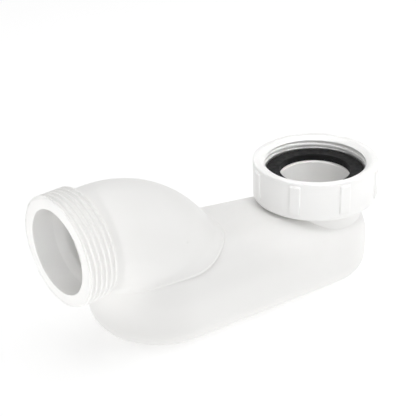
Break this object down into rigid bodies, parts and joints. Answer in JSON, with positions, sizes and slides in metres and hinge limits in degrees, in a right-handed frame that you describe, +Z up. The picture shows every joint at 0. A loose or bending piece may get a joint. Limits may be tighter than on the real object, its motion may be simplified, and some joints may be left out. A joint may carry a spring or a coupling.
{
  "type": "p trap",
  "caption": "Low flat bath trap: tapered round-ended sump, loose ribbed union nut with a flat washer over its inlet, and a swept outlet bend ending in a male pipe thread.",
  "frame": {"origin": "on the underside of the sump, directly below the inlet's axis", "axes": "+Z up along the inlet's axis, -X towards the outlet end of the sump, +Y across it; the outlet's own axis is level and swung 13 degrees from -X towards -Y"},
  "size_m": [0.1633, 0.0667, 0.0753],
  "materials": {
    "white_plastic": "satin white polypropylene",
    "nut_plastic": "satin white polypropylene",
    "ring_plastic": "natural acetal",
    "black_rubber": "matt black rubber"
  },
  "bodies": {
    "trap_body": {"sump_shell": "white_plastic", "sump_pan": "white_plastic", "inlet_dip_tube": "white_plastic", "outlet_elbow": "white_plastic", "outlet_spigot": "white_plastic"},
    "nut_carrier": {"nut_retaining_ring": "ring_plastic"},
    "nut": {"union_nut": "nut_plastic"},
    "washer": {"inlet_washer": "black_rubber"}
  },
  "joints": [
    {"name": "nut_float", "type": "slide", "parent": "trap_body", "child": "nut_carrier", "axis": [0, 0, 1], "range_m": [0, 0.0024]},
    {"name": "nut_spin", "type": "hinge", "parent": "nut_carrier", "child": "nut", "pos_m": [0, 0, 0.049], "axis": [0, 0, 1], "continuous": true},
    {"name": "washer_lift", "type": "slide", "parent": "trap_body", "child": "washer", "axis": [0, 0, 1], "range_m": [0, 0.015]}
  ]
}
